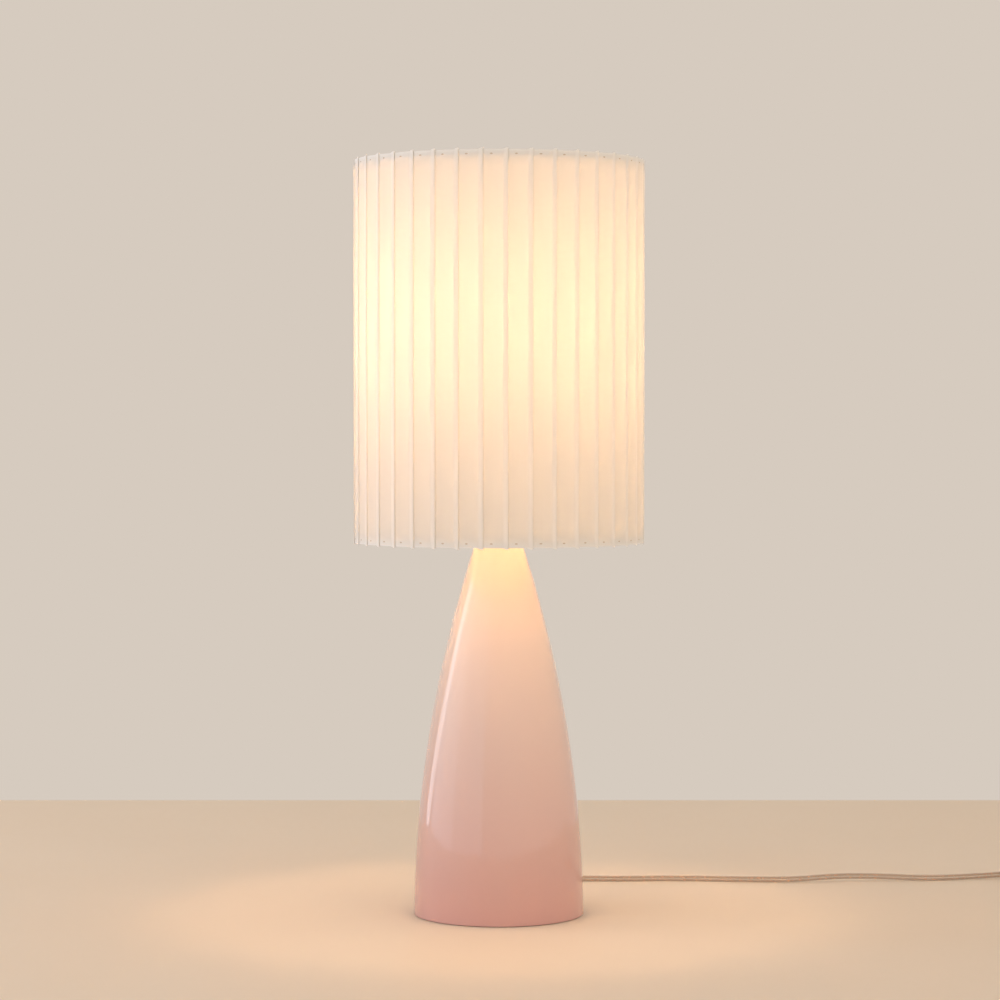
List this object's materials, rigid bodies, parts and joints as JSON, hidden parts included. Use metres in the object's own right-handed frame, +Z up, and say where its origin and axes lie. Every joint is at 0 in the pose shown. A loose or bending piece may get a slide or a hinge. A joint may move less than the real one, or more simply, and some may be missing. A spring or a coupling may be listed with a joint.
{
  "type": "table lamp",
  "caption": "Table lamp with a tapered glass base, a knife-pleated fabric drum shade on a harp, a screw-in bulb with a turn switch, and a clear twin flex with its plug.",
  "frame": {"origin": "centre of the felt foot, on the surface that the lamp stands on", "axes": "+Z up along the lamp, +Y to the rear where the cord leaves, +X to the right"},
  "size_m": [0.7048, 0.3258, 0.6645],
  "materials": {
    "felt": "matte pressed felt",
    "pan_steel": "black enamel",
    "cast_iron": "as cast",
    "pink_cased_glass": "glossy pink over white cased glass",
    "zinc_steel": "zinc plated",
    "satin_brass": "satin",
    "black_rubber": "matte",
    "nickel_wire": "nickel plated wire",
    "white_wire": "white powder coat",
    "clear_pvc": "clear flexible PVC over copper",
    "card": "matte card",
    "phenolic": "moulded phenolic",
    "black_plastic": "moulded",
    "black_glass": "glossy insulator",
    "nickel_cap": "nickel plated",
    "opal_globe": "opal, lit",
    "pleated_fabric": "white translucent pleated fabric",
    "hem_tape": "white opaque tape",
    "clear_tie": "white strap"
  },
  "bodies": {
    "lamp": {"felt_pad": "felt", "base_pan": "pan_steel", "ballast_ring": "cast_iron", "glass_base": "pink_cased_glass", "threaded_rod": "zinc_steel", "bottom_washer": "zinc_steel", "bottom_nut": "zinc_steel", "neck_gasket": "black_rubber", "vase_cap": "satin_brass", "neck_riser": "satin_brass", "cord_bushing": "clear_pvc", "inner_lead": "clear_pvc", "harp_saddle": "nickel_wire", "harp_bow": "nickel_wire", "harp_stud": "satin_brass", "socket_cap": "satin_brass", "socket_shell": "satin_brass", "socket_liner": "card", "socket_body": "phenolic", "screw_shell": "satin_brass", "centre_contact": "satin_brass", "cord_run": "clear_pvc", "cord_coil": "clear_pvc", "cord_tie": "clear_tie", "plug_body": "clear_pvc", "plug_blades": "satin_brass"},
    "shade": {"shade_fabric": "pleated_fabric", "top_hem": "hem_tape", "bottom_hem": "hem_tape", "top_ring": "white_wire", "bottom_ring": "white_wire", "spider_hub": "white_wire", "spider_arms": "white_wire"},
    "finial_insert": {"finial_insert": "satin_brass"},
    "finial": {"finial_knob": "satin_brass"},
    "switch": {"switch_shaft": "satin_brass", "switch_knob": "black_plastic"},
    "bulb_tip": {"bulb_tip": "black_glass"},
    "bulb": {"bulb_cap": "nickel_cap", "bulb_globe": "opal_globe"},
    "ferrule_left": {"harp_ferrule_left": "nickel_wire"},
    "ferrule_right": {"harp_ferrule_right": "nickel_wire"}
  },
  "joints": [
    {"name": "shade_turn", "type": "hinge", "parent": "lamp", "child": "shade", "pos_m": [0, 0, 0.6307], "axis": [0, 0, 1], "continuous": true},
    {"name": "finial_rise", "type": "slide", "parent": "lamp", "child": "finial_insert", "axis": [0, 0, 1], "range_m": [0, 0.00564]},
    {"name": "finial_turn", "type": "hinge", "parent": "finial_insert", "child": "finial", "pos_m": [0, 0, 0.64], "axis": [0, 0, 1], "range_deg": [0, 2160]},
    {"name": "switch_turn", "type": "hinge", "parent": "lamp", "child": "switch", "pos_m": [0, 0.02, 0.4405], "axis": [0, 1, 0], "continuous": true},
    {"name": "bulb_rise", "type": "slide", "parent": "lamp", "child": "bulb_tip", "axis": [0, 0, 1], "range_m": [0, 0.01632]},
    {"name": "bulb_turn", "type": "hinge", "parent": "bulb_tip", "child": "bulb", "pos_m": [0, 0, 0.5], "axis": [0, 0, 1], "range_deg": [0, 1620]},
    {"name": "ferrule_left_lift", "type": "slide", "parent": "lamp", "child": "ferrule_left", "axis": [0, 0, 1], "range_m": [0, 0.01]},
    {"name": "ferrule_right_lift", "type": "slide", "parent": "lamp", "child": "ferrule_right", "axis": [0, 0, 1], "range_m": [0, 0.01]}
  ],
  "couplings": [
    {"joint": "finial_turn", "follows": "finial_rise", "rad_per_m": 6677.1},
    {"joint": "bulb_turn", "follows": "bulb_rise", "rad_per_m": 1731.4}
  ]
}
